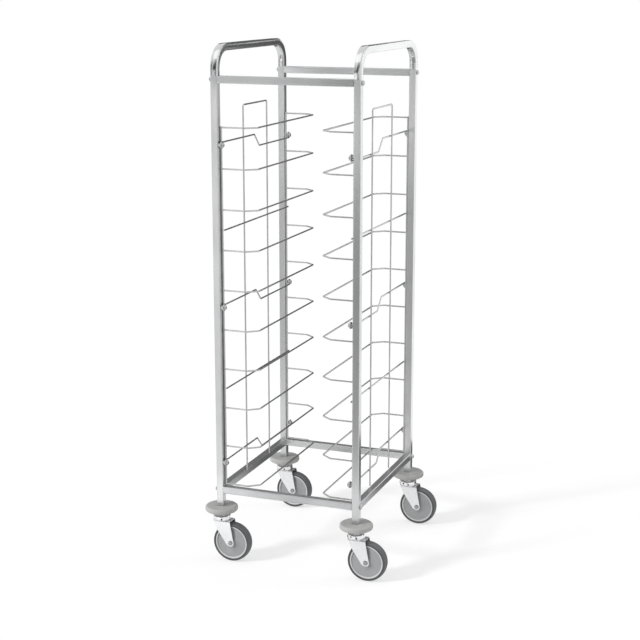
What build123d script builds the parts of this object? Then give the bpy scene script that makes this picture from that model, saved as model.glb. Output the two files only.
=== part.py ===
"""Tray rack trolley: a frame of square tube on four swivel castors, with a welded wire rack on each side.

Two upright hoops of square tube carry two bars at hand height and two rails near the floor.
Each side holds a wire rack whose slides run front to back, so a tray rests on a left and a right slide.
Millimetres, +Z up, front towards -Y. The origin is on the floor, under the middle of the whole outline.
"""

import os

from build123d import *

os.makedirs("parts", exist_ok=True)

# Square tube of the frame
tube = 22.0  # outside width of the tube
tube_wall = 1.2
tube_corner = 2.0  # outside corner radius of the tube
frame_width = 476.0  # over the outer faces of the uprights, left to right
frame_depth = 546.0  # over the outer faces of the uprights, front to back
hoop_bend = 65.0  # centre line radius of the two bends of a hoop
hoop_rise = 93.0  # top of the bars up to the top of the hoops
bar_headroom = 154.0  # top tray level up to the top of the bars
rail_above_bumper = 65.0  # top of the bumper up to the top of the bottom rails

# Bolts that hold the bars and rails between the hoops
bolt_diameter = 8.0
bolt_hole_play = 0.3  # round the bolt, in the uprights
thread_play = 0.05  # round the bolt, in the threaded end block
bolt_head_diameter = 15.0
bolt_head_height = 8.0
bolt_dome_share = 0.7  # of the head's height that is rounded over
end_block_length = 26.0  # threaded block inside each end of a bar
bolt_tip_gap = 4.0  # end of the bolt to the inner end of the block

# Tray levels and the wire racks
level_count = 10
level_pitch = 125.0
lowest_level_above_rail = 6.0  # top of the bottom rail up to the axis of the lowest slide
wire = 5.0
end_wire = 6.0
wire_bend = 8.0  # centre line radius of the bends
end_wire_gap = 0.3  # upright to end wire
end_wire_inset = 6.5  # centre line of the upright to the end wire, towards the middle
slide_leg = 75.0  # end wire to the first bend of a slide
slide_corner_reach = 32.0  # further reach of the slanted corner, towards the middle of the trolley
slide_corner_run = 26.0  # the same corner's length along the slide
end_wire_overrun = 3.0  # end wire past the highest and the lowest slide
bow_width = 186.0  # between the two legs of the guide bow
bow_above_top_level = 55.0
bow_below_low_level = 7.0
cross_wire_overrun = 3.0  # straight cross wire past each end wire
hook_jog = 38.0  # drop, and length, of the step in a hook wire
eye_radius = 8.5  # centre line radius of the rolled eyes
eye_turn = 285.0  # degrees of wire in an eye

# Studs that carry the eyes of the hook wires
eye_overhang = 3.0  # eye past the outer face of the upright
stud_play = 0.25  # round the neck of the stud, in the eye
stud_neck_overrun = 0.4  # neck past the wire
stud_head_lap = 1.5  # head past the hole of the eye, all round
stud_head_height = 4.8
stud_dome_share = 0.8  # of the head's height that is rounded over
stud_thread_diameter = 6.0
stud_thread_length = 8.0
stud_hole_play = 0.1

# Castors
wheel_diameter = 125.0
wheel_width = 32.0
castor_trail = 38.0  # swivel axis to axle
tyre_thickness = 9.0
tyre_crown = 3.0  # how far the tread drops from its middle to its edge
tyre_lip = 2.0  # bevel of the tyre down to the ring
tyre_seat = 0.05  # wheel centre to tyre
rim_ring_width = 4.0  # raised ring at the edge of the wheel centre
rim_ring_height = 3.5
ring_slope = 1.0
web_half_thickness = 11.0  # wheel centre at the foot of the ring
hub_radius = 12.0
hub_rise = 4.5  # the web is this much thicker at the hub
hub_edge = 1.0  # bevel round the end of the hub
cheek_gap = 3.0  # tyre to fork cheek
hub_gap = 0.4  # hub to fork cheek
axle_diameter = 8.0
axle_play = 0.06  # round the axle, in the hub
axle_hole_play = 0.1  # round the axle, in the cheeks
axle_head_diameter = 13.0
axle_head_height = 4.0
axle_dome_share = 0.5  # of the head's height that is rounded over
axle_nut_height = 6.5
fork_plate = 2.5
fork_bend = 4.0  # outside radius between crown and cheek
fork_crown_gap = 6.0  # top of the wheel to the crown
fork_front = 21.0  # swivel axis to the leading edge of the cheeks
fork_rear = 36.0  # swivel axis to the trailing edge of the crown
fork_knee_drop = 28.0  # crown down to the bend in the leading edge
fork_knee_inset = 13.0
fork_boss_radius = 11.0  # rounded end of the cheeks, round the axle
fork_toe_ahead = 5.0  # the round end is drawn out this far towards the leading edge
fork_toe_rise = 2.0
crown_disc_radius = 27.0
race_ring_height = 6.0  # lower ball race, above the crown
race_inner_radius = 15.0
race_play = 0.4  # lower race to the skirt of the upper race
ball_diameter = 5.0
ball_play = 0.15  # above and below a ball
ball_count = 14
head_radius = 28.0
head_plate = 4.0
head_edge = 2.4  # rounding of the top edge
head_skirt = 3.0
head_skirt_gap = 2.5  # skirt to the crown of the fork
kingpin_radius = 6.0
kingpin_play = 0.05
rivet_radius = 10.0
rivet_height = 3.2
rivet_gap = 0.3
collar_width = 24.0  # across the flats of the hexagon under the bumper
collar_height = 13.7
bumper_diameter = 104.0
bumper_thickness = 17.0
bumper_edge = 6.0
bumper_socket_depth = 6.0  # the upright stands this deep in the bumper
bumper_socket_play = 0.2
stem_play = 0.2
plug_length = 50.0  # square plug of the castor inside the upright
plug_play = 0.3

# Heights, from the floor up
wheel_radius = wheel_diameter / 2
crown_bottom = wheel_diameter + fork_crown_gap
crown_top = crown_bottom + fork_plate
race_top = crown_top + race_ring_height
head_bottom = race_top + ball_diameter + 2 * ball_play
head_top = head_bottom + head_plate
bumper_bottom = head_top + collar_height
bumper_top = bumper_bottom + bumper_thickness
upright_bottom = bumper_top - bumper_socket_depth
rail_top = bumper_top + rail_above_bumper
low_level = rail_top + lowest_level_above_rail
top_level = low_level + (level_count - 1) * level_pitch
bar_top = top_level + bar_headroom
frame_height = bar_top + hoop_rise

# Plan: the wheels stand out to the right, so the frame sits a little to the left of the origin
frame_x = -(castor_trail + wheel_radius - bumper_diameter / 2) / 2
half_width = (frame_width - tube) / 2
half_depth = (frame_depth - tube) / 2
inner_half_width = half_width - tube / 2
end_wire_x = inner_half_width - end_wire_gap - end_wire / 2
cross_wire_x = end_wire_x - end_wire / 2 - wire / 2
bow_x = cross_wire_x + wire
end_wire_y = half_depth - end_wire_inset
stud_y = half_depth + tube / 2 + eye_overhang - eye_radius - wire / 2
slide_reach_x = end_wire_x - slide_leg - slide_corner_reach

sides = {"left": -1, "right": 1}
corners = {
    "front_left": (-1, -1),
    "front_right": (1, -1),
    "back_left": (-1, 1),
    "back_right": (1, 1),
}
bolt_places = [(y, top - tube / 2) for y in (-half_depth, half_depth) for top in (bar_top, rail_top)]
cross_count = (level_count + 1) // 2
cross_heights = [top_level - level_pitch * (2 * step + 0.5) for step in range(cross_count)]
hook_heights = cross_heights[0::2]
brace_heights = cross_heights[1::2]


def save(part, name):
    """Label a finished piece and write it to its own file."""
    part.label = name
    export_step(part, f"parts/{name}.step")


def stud_places(side):
    """Centres of the eyes on one side: y and z. A rack is the same part on both sides, turned half round."""
    places = []
    for height in hook_heights:
        places.append((side * stud_y, height + hook_jog / 2 - eye_radius))
        places.append((-side * stud_y, height - hook_jog / 2 + eye_radius))
    return places


def tube_section():
    """Ring of the square tube, drawn in the open sketch."""
    inside = tube - 2 * tube_wall
    RectangleRounded(tube, tube, tube_corner)
    RectangleRounded(inside, inside, tube_corner - tube_wall, mode=Mode.SUBTRACT)


# Side hoops: an inverted U of tube with holes for the bolts and, on the inner wall, for the studs
for side_name, side in sides.items():
    x = frame_x + side * half_width
    hoop_plane = Plane((x, 0, 0), x_dir=(0, 1, 0), z_dir=(1, 0, 0))
    hoop_top = frame_height - tube / 2
    with BuildPart() as side_frame:
        with BuildLine(hoop_plane):
            FilletPolyline(
                (-half_depth, upright_bottom),
                (-half_depth, hoop_top),
                (half_depth, hoop_top),
                (half_depth, upright_bottom),
                radius=hoop_bend,
            )
        with BuildSketch(Plane((x, -half_depth, upright_bottom))):
            tube_section()
        sweep()
        outer_face = Plane((x + side * tube / 2, 0, 0), x_dir=(0, 1, 0), z_dir=(1, 0, 0))
        with BuildSketch(outer_face):
            with Locations(*bolt_places):
                Circle(bolt_diameter / 2 + bolt_hole_play)
        extrude(amount=-side * tube, mode=Mode.SUBTRACT)
        inner_face = Plane((x - side * tube / 2, 0, 0), x_dir=(0, 1, 0), z_dir=(1, 0, 0))
        with BuildSketch(inner_face):
            with Locations(*stud_places(side)):
                Circle(stud_thread_diameter / 2 + stud_hole_play)
        extrude(amount=side * tube / 2, mode=Mode.SUBTRACT)
    save(side_frame.part, f"side_frame_{side_name}")

# Side rails: plain tube welded between the uprights of a hoop
for side_name, side in sides.items():
    x = frame_x + side * half_width
    front_end = Plane((x, tube / 2 - half_depth, rail_top - tube / 2), x_dir=(1, 0, 0), z_dir=(0, 1, 0))
    with BuildPart() as side_rail:
        with BuildSketch(front_end):
            tube_section()
        extrude(amount=2 * half_depth - tube)
    save(side_rail.part, f"side_rail_{side_name}")

# Bars and rails across the trolley: tube with a threaded block in each end
cross_bars = {
    "top_bar_front": (-half_depth, bar_top),
    "top_bar_back": (half_depth, bar_top),
    "bottom_rail_front": (-half_depth, rail_top),
    "bottom_rail_back": (half_depth, rail_top),
}
for bar_name, (y, top) in cross_bars.items():
    left_end = Plane((frame_x - inner_half_width, y, top - tube / 2), x_dir=(0, 1, 0), z_dir=(1, 0, 0))
    right_end = left_end.offset(2 * inner_half_width - end_block_length)
    with BuildPart() as cross_bar:
        with BuildSketch(left_end):
            tube_section()
        extrude(amount=2 * inner_half_width)
        for block_end in (left_end, right_end):
            with BuildSketch(block_end):
                Rectangle(tube - 2 * tube_wall, tube - 2 * tube_wall)
            extrude(amount=end_block_length)
            with BuildSketch(block_end):
                Circle(bolt_diameter / 2 + thread_play)
            extrude(amount=end_block_length, mode=Mode.SUBTRACT)
    save(cross_bar.part, bar_name)

# Frame bolts: domed heads on the outer faces of the uprights
bolt_length = tube + end_block_length - bolt_tip_gap
with BuildPart() as frame_bolts:
    for side in sides.values():
        outer_x = frame_x + side * (half_width + tube / 2)
        outer_face = Plane((outer_x, 0, 0), x_dir=(0, side, 0), z_dir=(side, 0, 0))
        with BuildSketch(outer_face):
            with Locations(*[(side * y, z) for y, z in bolt_places]):
                Circle(bolt_head_diameter / 2)
        heads = extrude(amount=bolt_head_height)
        crown_edges = heads.edges().group_by(Axis.X)[-1 if side > 0 else 0]
        fillet(crown_edges, radius=bolt_head_height * bolt_dome_share)
        with BuildSketch(outer_face):
            with Locations(*[(side * y, z) for y, z in bolt_places]):
                Circle(bolt_diameter / 2)
        extrude(amount=-bolt_length)
save(frame_bolts.part, "frame_bolts")

# Rack studs: a spigot in the upright, a neck through the eye of the wire and a domed head
stud_neck_length = inner_half_width - cross_wire_x + wire / 2 + stud_neck_overrun
eye_hole_radius = eye_radius - wire / 2
stud_neck_radius = eye_hole_radius - stud_play
stud_head_radius = eye_hole_radius + stud_head_lap
with BuildPart() as rack_studs:
    for side in sides.values():
        inner_x = frame_x + side * inner_half_width
        inner_face = Plane((inner_x, 0, 0), x_dir=(0, -side, 0), z_dir=(-side, 0, 0))
        places = [(-side * y, z) for y, z in stud_places(side)]
        with BuildSketch(inner_face):
            with Locations(*places):
                Circle(stud_neck_radius)
        extrude(amount=stud_neck_length)
        with BuildSketch(inner_face):
            with Locations(*places):
                Circle(stud_thread_diameter / 2)
        extrude(amount=-stud_thread_length)
        with BuildSketch(inner_face.offset(stud_neck_length)):
            with Locations(*places):
                Circle(stud_head_radius)
        heads = extrude(amount=stud_head_height)
        crown_edges = heads.edges().group_by(Axis.X)[0 if side > 0 else -1]
        fillet(crown_edges, radius=stud_head_height * stud_dome_share)
save(rack_studs.part, "rack_studs")

# Slides: one bent wire for each tray level on each side, butted to the end wires
for side_name, side in sides.items():
    leg_x = side * (end_wire_x - end_wire / 2)
    bend_x = side * (end_wire_x - slide_leg)
    run_x = side * slide_reach_x
    run_y = end_wire_y - slide_corner_run
    for level in range(level_count):
        height = top_level - level * level_pitch
        wire_end = Plane((frame_x + leg_x, -end_wire_y, height), x_dir=(0, 1, 0), z_dir=(-side, 0, 0))
        with BuildPart() as slide:
            with BuildLine(Plane((frame_x, 0, height))):
                FilletPolyline(
                    (leg_x, -end_wire_y),
                    (bend_x, -end_wire_y),
                    (run_x, -run_y),
                    (run_x, run_y),
                    (bend_x, end_wire_y),
                    (leg_x, end_wire_y),
                    radius=wire_bend,
                )
            with BuildSketch(wire_end):
                Circle(wire / 2)
            sweep()
        save(slide.part, f"slide_{side_name}_{level + 1:02d}")

# End wires: the two upright wires of each rack, four alike
end_wire_bottom = low_level - end_wire_overrun
end_wire_length = top_level + end_wire_overrun - end_wire_bottom
with BuildPart() as end_wires:
    with BuildSketch(Plane.XY.offset(end_wire_bottom)):
        with Locations((frame_x, 0)):
            with GridLocations(2 * end_wire_x, 2 * end_wire_y, 2, 2):
                Circle(end_wire / 2)
    extrude(amount=end_wire_length)
save(end_wires.part, "end_wires")

# Guide bows: a tall inverted U of wire that keeps the trays from catching the cross wires
bow_top = top_level + bow_above_top_level
bow_bottom = low_level - bow_below_low_level
for side_name, side in sides.items():
    bow_plane = Plane((frame_x + side * bow_x, 0, 0), x_dir=(0, 1, 0), z_dir=(1, 0, 0))
    with BuildPart() as guide_bow:
        with BuildLine(bow_plane):
            FilletPolyline(
                (-bow_width / 2, bow_bottom),
                (-bow_width / 2, bow_top),
                (bow_width / 2, bow_top),
                (bow_width / 2, bow_bottom),
                radius=wire_bend,
            )
        with BuildSketch(Plane((frame_x + side * bow_x, -bow_width / 2, bow_bottom))):
            Circle(wire / 2)
        sweep()
    save(guide_bow.part, f"guide_bow_{side_name}")


# Cross wires: three stepped hook wires and two straight ones join the uprights of each rack.
# A hook wire has a rolled eye at each end, hung on two studs, and steps down from its high eye.
brace_length = 2 * (end_wire_y + cross_wire_overrun)
eye_tip = eye_turn - 270
for side_name, side in sides.items():
    x = frame_x + side * cross_wire_x
    hook_plane = Plane((x, 0, 0), x_dir=(0, -side, 0), z_dir=(-side, 0, 0))
    brace_plane = Plane((x, -brace_length / 2, 0), x_dir=(1, 0, 0), z_dir=(0, 1, 0))
    with BuildPart() as cross_wires:
        for height in hook_heights:
            high = height + hook_jog / 2
            low = height - hook_jog / 2
            with BuildLine(hook_plane) as path:
                CenterArc((-stud_y, high - eye_radius), eye_radius, eye_tip, -eye_turn)
                FilletPolyline(
                    (-stud_y, high),
                    (-hook_jog / 2, high),
                    (hook_jog / 2, low),
                    (stud_y, low),
                    radius=wire_bend,
                )
                CenterArc((stud_y, low + eye_radius), eye_radius, -90, eye_turn)
            with BuildSketch(Plane(path.wires()[0] @ 0, z_dir=path.wires()[0] % 0)):
                Circle(wire / 2)
            sweep()
        with BuildSketch(brace_plane):
            with Locations(*[(0, -height) for height in brace_heights]):
                Circle(wire / 2)
        extrude(amount=brace_length)
    save(cross_wires.part, f"cross_wires_{side_name}")

cheek_inside = wheel_width / 2 + cheek_gap
cheek_outside = cheek_inside + fork_plate
wheel_centre_radius = wheel_radius - tyre_thickness
plug_width = tube - 2 * tube_wall - 2 * plug_play

for corner_name, (x_side, y_side) in corners.items():
    x = frame_x + x_side * half_width
    y = y_side * half_depth
    axle_x = x + castor_trail

    # Bumper: a round soft disc with a square socket for the foot of the upright
    with BuildPart() as bumper:
        with BuildSketch(Plane((x, y, bumper_bottom))):
            Circle(bumper_diameter / 2)
        extrude(amount=bumper_thickness)
        fillet(bumper.edges().filter_by(GeomType.CIRCLE), radius=bumper_edge)
        with BuildSketch(Plane((x, y, bumper_top))):
            Rectangle(tube + 2 * bumper_socket_play, tube + 2 * bumper_socket_play)
        extrude(amount=-bumper_socket_depth, mode=Mode.SUBTRACT)
        with BuildSketch(Plane((x, y, bumper_bottom))):
            Circle(kingpin_radius + stem_play)
        extrude(amount=bumper_thickness, mode=Mode.SUBTRACT)
    save(bumper.part, f"bumper_{corner_name}")

    # Swivel head: kingpin, upper ball race, hexagon, stem and the square plug in the upright
    with BuildPart() as swivel_head:
        with BuildSketch(Plane((x, y, head_bottom))):
            Circle(head_radius)
        extrude(amount=head_plate)
        fillet(swivel_head.edges().sort_by(Axis.Z)[-1], radius=head_edge)
        with BuildSketch(Plane((x, y, crown_top + head_skirt_gap))):
            Circle(head_radius)
            Circle(head_radius - head_skirt, mode=Mode.SUBTRACT)
        extrude(amount=head_bottom - crown_top - head_skirt_gap)
        with BuildSketch(Plane((x, y, crown_bottom - rivet_gap - rivet_height))):
            Circle(rivet_radius)
        extrude(amount=rivet_height)
        with BuildSketch(Plane((x, y, crown_bottom - rivet_gap))):
            Circle(kingpin_radius)
        extrude(amount=upright_bottom + plug_play - crown_bottom + rivet_gap)
        with BuildSketch(Plane((x, y, head_top))):
            RegularPolygon(collar_width / 2, 6, major_radius=False)
        extrude(amount=collar_height)
        with BuildSketch(Plane((x, y, upright_bottom + plug_play))):
            RectangleRounded(plug_width, plug_width, tube_corner - tube_wall)
        extrude(amount=plug_length)
    save(swivel_head.part, f"swivel_head_{corner_name}")

    # Fork: a pressed U of steel, open below, with the lower ball race on its crown.
    # The U is drawn across the trail, then cut to the cheek's outline as seen from the side.
    knee = (fork_knee_inset - fork_front, crown_top - fork_knee_drop)
    toe = (castor_trail - fork_toe_ahead, wheel_radius + fork_toe_rise)
    with BuildPart() as fork:
        with BuildSketch(Plane((x - fork_front, y, 0), x_dir=(0, 1, 0), z_dir=(1, 0, 0))):
            with Locations((0, crown_top / 2)):
                outer = Rectangle(2 * cheek_outside, crown_top)
            fillet(outer.vertices().group_by(Axis.Z)[-1], radius=fork_bend)
            with Locations((0, crown_bottom / 2)):
                Rectangle(2 * cheek_inside, crown_bottom, mode=Mode.SUBTRACT)
        extrude(amount=fork_front + castor_trail + fork_boss_radius)
        with BuildSketch(Plane((x, y, 0), x_dir=(1, 0, 0), z_dir=(0, -1, 0))):
            with BuildLine():
                Polyline(knee, (-fork_front, crown_top), (fork_rear, crown_top))
            with Locations((castor_trail, wheel_radius), toe):
                Circle(fork_boss_radius)
            make_hull()
        extrude(amount=cheek_outside, both=True, mode=Mode.INTERSECT)
        with BuildSketch(Plane((x, y, crown_bottom))):
            Circle(crown_disc_radius)
        extrude(amount=fork_plate)
        with BuildSketch(Plane((x, y, crown_top))):
            Circle(head_radius - head_skirt - race_play)
        extrude(amount=race_ring_height)
        with BuildSketch(Plane((x, y, crown_top))):
            Circle(race_inner_radius)
        extrude(amount=race_ring_height, mode=Mode.SUBTRACT)
        with BuildSketch(Plane((x, y, crown_bottom))):
            Circle(kingpin_radius + kingpin_play)
        extrude(amount=fork_plate, mode=Mode.SUBTRACT)
        with BuildSketch(Plane((axle_x, y, wheel_radius), x_dir=(1, 0, 0), z_dir=(0, -1, 0))):
            Circle(axle_diameter / 2 + axle_hole_play)
        extrude(amount=cheek_outside, both=True, mode=Mode.SUBTRACT)
    save(fork.part, f"fork_{corner_name}")

    # Axle bolt: head towards the front, nut towards the back
    front_cheek = Plane((axle_x, y - cheek_outside, wheel_radius), x_dir=(1, 0, 0), z_dir=(0, -1, 0))
    back_cheek = Plane((axle_x, y + cheek_outside, wheel_radius), x_dir=(1, 0, 0), z_dir=(0, 1, 0))
    with BuildPart() as axle:
        with BuildSketch(front_cheek):
            Circle(axle_diameter / 2)
        extrude(amount=-2 * cheek_outside)
        with BuildSketch(front_cheek):
            Circle(axle_head_diameter / 2)
        extrude(amount=axle_head_height)
        fillet(axle.edges().sort_by(Axis.Y)[0], radius=axle_head_height * axle_dome_share)
        with BuildSketch(back_cheek):
            RegularPolygon(axle_head_diameter / 2, 6, major_radius=False)
        extrude(amount=axle_nut_height)
    save(axle.part, f"axle_{corner_name}")

    # Wheel centre: hub, coned web and a raised ring at its edge, turned about the axle
    wheel_section = Plane((axle_x, y, wheel_radius), x_dir=(0, 1, 0), z_dir=(1, 0, 0))
    wheel_axis = Axis((axle_x, y, wheel_radius), (0, 1, 0))
    ring_foot = wheel_centre_radius - rim_ring_width
    ring_y = web_half_thickness + rim_ring_height
    hub_y = cheek_inside - hub_gap
    half_outline = [
        (hub_y, axle_diameter / 2 + axle_play),
        (hub_y, hub_radius - hub_edge),
        (web_half_thickness + hub_rise, hub_radius),
        (web_half_thickness, ring_foot),
        (ring_y, ring_foot + ring_slope),
        (ring_y, wheel_centre_radius - tyre_seat),
    ]
    far_half = [(-across, out) for across, out in reversed(half_outline)]
    with BuildPart() as wheel_centre:
        with BuildSketch(wheel_section):
            with BuildLine():
                Polyline(*half_outline, *far_half, close=True)
            make_face()
        revolve(axis=wheel_axis)
    save(wheel_centre.part, f"wheel_centre_{corner_name}")

    # Tyre: a band with flat sides and a gently crowned tread
    with BuildPart() as tyre:
        with BuildSketch(wheel_section):
            with BuildLine():
                Polyline(
                    (wheel_width / 2, wheel_radius - tyre_crown),
                    (wheel_width / 2, wheel_centre_radius + tyre_lip),
                    (ring_y, wheel_centre_radius),
                    (-ring_y, wheel_centre_radius),
                    (-wheel_width / 2, wheel_centre_radius + tyre_lip),
                    (-wheel_width / 2, wheel_radius - tyre_crown),
                )
                ThreePointArc(
                    (-wheel_width / 2, wheel_radius - tyre_crown),
                    (0, wheel_radius),
                    (wheel_width / 2, wheel_radius - tyre_crown),
                )
            make_face()
        revolve(axis=wheel_axis)
    save(tyre.part, f"tyre_{corner_name}")

# Swivel balls: a ring of steel balls between the two races of each castor
ball_ring_radius = (race_inner_radius + head_radius - head_skirt - race_play) / 2
ball_height = race_top + ball_play + ball_diameter / 2
with BuildPart() as swivel_balls:
    with Locations((frame_x, 0, ball_height)):
        with GridLocations(2 * half_width, 2 * half_depth, 2, 2):
            with PolarLocations(ball_ring_radius, ball_count):
                Sphere(ball_diameter / 2)
save(swivel_balls.part, "swivel_balls")
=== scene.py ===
# %% [markdown]
# # Tray rack trolley
#
# The trolley is a frame of square stainless tube on four swivel castors, with a wire rack on each side.
# The imported model already holds every tube, wire and bolt at its real size, so this lesson never moves
# them. It gives each surface its finish and adds the welds. It makes the hoops again with smooth bends,
# and the castors and bumpers again with soft, pressed and moulded edges.
#
# We start by loading the fixed frame.

# %% Load the frame
from math import pi, radians

import bmesh
import bpy
import numpy as np
from mathutils import Euler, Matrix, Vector


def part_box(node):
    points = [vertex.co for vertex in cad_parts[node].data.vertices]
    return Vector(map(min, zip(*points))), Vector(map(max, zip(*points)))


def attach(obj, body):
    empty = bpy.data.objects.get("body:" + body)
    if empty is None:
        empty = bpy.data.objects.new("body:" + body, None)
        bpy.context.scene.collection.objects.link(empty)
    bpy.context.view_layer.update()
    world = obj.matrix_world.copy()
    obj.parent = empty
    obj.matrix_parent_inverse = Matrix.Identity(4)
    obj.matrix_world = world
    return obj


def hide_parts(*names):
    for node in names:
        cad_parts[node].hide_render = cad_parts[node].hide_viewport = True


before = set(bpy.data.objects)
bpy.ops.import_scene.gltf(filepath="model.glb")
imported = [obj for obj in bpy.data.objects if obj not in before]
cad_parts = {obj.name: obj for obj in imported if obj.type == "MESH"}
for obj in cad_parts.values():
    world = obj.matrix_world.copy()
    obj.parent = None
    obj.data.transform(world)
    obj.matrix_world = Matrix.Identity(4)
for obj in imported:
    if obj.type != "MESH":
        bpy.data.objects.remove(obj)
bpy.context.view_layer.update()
scene = bpy.context.scene
MM = 0.001
print("nodes in the frame:", len(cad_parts))

# %% [markdown]
# ## Places that everything else hangs on
#
# Sizes are read from the frame, because a copied number goes stale when the model changes. The bumpers
# stand on the swivel axes and the tyres on the axles, so two boxes per castor give its whole place.

# %% Read the places
SIDES = ("left", "right")
CORNERS = ("front_left", "front_right", "back_left", "back_right")


def middle(node):
    """Centre of a node's box, as an array in metres."""
    low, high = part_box(node)
    return np.array((low + high) / 2)


def span(node):
    """Size of a node's box along x, y and z, as an array in metres."""
    low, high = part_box(node)
    return np.array(high - low)


swivel_axis = {corner: middle(f"bumper_{corner}") for corner in CORNERS}
axis_foot = {corner: swivel_axis[corner] * [1, 1, 0] for corner in CORNERS}
axle_centre = {corner: middle(f"tyre_{corner}") for corner in CORNERS}
frame_centre = (swivel_axis["front_left"] + swivel_axis["back_right"]) / 2
tube_width = span("side_rail_left")[2]
print("middle of the frame, mm:", np.round(frame_centre / MM, 2), "tube, mm:", round(tube_width / MM, 2))

# %% [markdown]
# ## A small kit for surfaces
#
# Every new piece is a grid of points worked out with numpy: a closed outline is carried round an axis or
# along a path. One helper turns such a grid into faces, and another rounds the corners of an outline,
# because no pressed or moulded part has a knife edge. Working with whole arrays is quick, and the formula
# stays in view.


# %% Outlines with round corners
SAME_POINT = 1e-4  # two points of an outline that are closer than this are one


def unit(vectors):
    """Each row divided by its own length."""
    return vectors / np.linalg.norm(vectors, axis=-1, keepdims=True)


def rounded(corners, radii, steps=7):
    """A closed outline whose corners are cut by arcs.

    At a corner the two edges leave along a and b, with half the angle between them called h. The arc's
    centre lies radius / sin(h) from the corner along a + b, and the arc turns from one edge to the other by
    spherical interpolation between its two end radii.
    """
    corner = np.array(corners, float)
    radius = np.broadcast_to(np.array(radii, float), len(corner))[:, None]
    a = unit(np.roll(corner, 1, axis=0) - corner)
    b = unit(np.roll(corner, -1, axis=0) - corner)
    half = np.arccos(np.clip(np.sum(a * b, axis=1), -1, 1))[:, None] / 2
    centre = corner + unit(a + b) * radius / np.sin(half)
    first = corner + a * radius / np.tan(half) - centre
    last = corner + b * radius / np.tan(half) - centre
    turn = (pi - 2 * half)[:, :, None]
    share = np.linspace(0, 1, steps)[None, :, None]
    arc = np.sin((1 - share) * turn) * first[:, None] + np.sin(share * turn) * last[:, None]
    outline = (centre[:, None] + arc / np.sin(turn)).reshape(-1, 2)
    gap = np.linalg.norm(outline - np.roll(outline, 1, axis=0), axis=1)
    return outline[gap > SAME_POINT]


def square_corners(half):
    """Corners of a square round the origin, one after the other."""
    return [(-half, -half), (half, -half), (half, half), (-half, half)]


print("points in a rounded square:", len(rounded(square_corners(5), 2)))


# %% Grids into meshes
MERGE_WITHIN = 2e-6  # metres
SHORTEST_EDGE = 1e-6


def grid_faces(rows, columns, wrap_rows, wrap_columns):
    """Four corners of each face between neighbouring points of a grid, as an array."""
    row = np.arange(rows if wrap_rows else rows - 1)[:, None]
    column = np.arange(columns if wrap_columns else columns - 1)[None]
    here, below = row * columns, (row + 1) % rows * columns
    right = (column + 1) % columns
    faces = np.stack([here + column, below + column, below + right, here + right], axis=-1)
    return faces.reshape(-1, 4)


print("faces between 3 rows and 4 columns of points:", len(grid_faces(3, 4, False, False)))


def join(*surfaces):
    """Several (points, faces) pairs as one pair."""
    starts = np.cumsum([0] + [len(points) for points, _ in surfaces[:-1]])
    points = np.concatenate([points for points, _ in surfaces])
    faces = np.concatenate([faces + start for (_, faces), start in zip(surfaces, starts)])
    return points, faces


def sheet_of(grid, wrap_rows=False, wrap_columns=False):
    """The (points, faces) pair of a grid whose last axis is x, y and z."""
    return grid.reshape(-1, 3), grid_faces(grid.shape[0], grid.shape[1], wrap_rows, wrap_columns)


def add_piece(name, surface, material, body, smooth_angle=35):
    """A mesh object from a surface in millimetres: doubles merged, faces turned out, riding on its body."""
    points, faces = surface
    mesh = bpy.data.meshes.new(name)
    mesh.from_pydata((points * MM).tolist(), [], faces.tolist())
    skin = bmesh.new()
    skin.from_mesh(mesh)
    bmesh.ops.remove_doubles(skin, verts=skin.verts, dist=MERGE_WITHIN)
    bmesh.ops.dissolve_degenerate(skin, edges=skin.edges, dist=SHORTEST_EDGE)
    bmesh.ops.recalc_face_normals(skin, faces=skin.faces)
    skin.to_mesh(mesh)
    skin.free()
    mesh.shade_smooth()
    mesh.set_sharp_from_angle(angle=radians(smooth_angle))
    mesh.materials.append(material)
    piece = bpy.data.objects.new(name, mesh)
    scene.collection.objects.link(piece)
    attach(piece, body)
    return piece


# %% [markdown]
# ## Turned shapes
#
# Wheels, tyres, races and bolt heads are all made on a lathe or in a round mould. Their outline is given
# as (radius, height) and carried round the axis. A second helper makes prisms such as nuts, where the
# radius changes with the turn.


# %% Surfaces round an axis
def full_turn(steps):
    """Evenly spaced angles once round, as a column."""
    return np.linspace(0, 2 * pi, steps, endpoint=False)[:, None]


def round_axis(radius, height, turn):
    """A grid of points at x = radius cos(turn), y = radius sin(turn), z = height."""
    return np.stack([radius * np.cos(turn), radius * np.sin(turn), height + 0 * turn], axis=-1)


def turned(outline, turns=96, closed=True):
    """A surface round Z from (radius, height) points. The outline is a loop, or ends on the axis."""
    grid = round_axis(outline[:, 0][None], outline[:, 1][None], full_turn(turns))
    return sheet_of(grid, wrap_rows=True, wrap_columns=closed)


def polygon_reach(turn, sides):
    """Reach of a polygon that measures 2 across its flats: 1 / cos of the angle from a flat's middle."""
    step = 2 * pi / sides
    return 1 / np.cos((turn + step / 2) % step - step / 2)


def prism(across, sides, low, high, chamfer, turns=96):
    """A many-sided bar with its corners turned off at both ends, closed by flat caps.

    The radius is the smaller of the polygon's own reach and a cone that opens from each end.
    """
    turn = full_turn(turns)
    edge = across / 2 * polygon_reach(turn, sides)
    low_end = [low, low, low + chamfer / 2, low + chamfer]
    high_end = [high - chamfer, high - chamfer / 2, high, high]
    cone = np.array([0, 0, 0.5, 1, 1, 0.5, 0, 0]) * (edge.max() - across / 2) + across / 2
    radius = np.minimum(edge, cone[None])
    radius[:, [0, -1]] = 0
    return sheet_of(round_axis(radius, np.array(low_end + high_end)[None], turn), wrap_rows=True)


def placed(surface, centre, axis="z"):
    """The surface with its own Z laid along an axis of the trolley, and its origin at a centre in metres."""
    points, faces = surface
    order = {"z": [0, 1, 2], "y": [1, 2, 0], "x": [2, 0, 1]}[axis]
    return points[:, order] + np.array(centre) / MM, faces


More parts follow.
